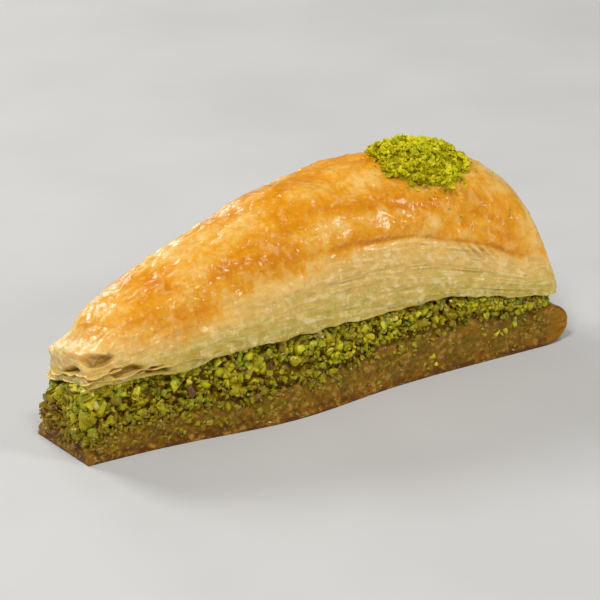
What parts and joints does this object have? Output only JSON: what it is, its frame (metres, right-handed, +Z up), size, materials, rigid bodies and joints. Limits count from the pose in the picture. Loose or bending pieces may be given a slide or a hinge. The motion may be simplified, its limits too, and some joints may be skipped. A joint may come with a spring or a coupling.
{
  "type": "baklava piece",
  "caption": "Long baklava wedge from a round tray: soaked lower pastry, chopped pistachio filling, puffed browned upper pastry and a small heap of ground pistachio on top.",
  "frame": {"origin": "middle of the flat underside, halfway between the cut tip and the round rim end", "axes": "+X along the wedge from its narrow cut tip to its wide rim end, +Z up, so the front cut face looks towards -Y"},
  "size_m": [0.1412, 0.0544, 0.0589],
  "materials": {
    "soaked_pastry": "syrup-soaked pastry, olive brown and glossy",
    "chopped_pistachio": "chopped pistachio wet with syrup",
    "browned_pastry": "golden browned flaky pastry glazed with syrup",
    "ground_pistachio": "dry ground pistachio, bright yellow green"
  },
  "bodies": {
    "root": {"lower_pastry": "soaked_pastry", "pistachio_filling": "chopped_pistachio", "upper_pastry": "browned_pastry", "pistachio_heap": "ground_pistachio"}
  },
  "joints": []
}
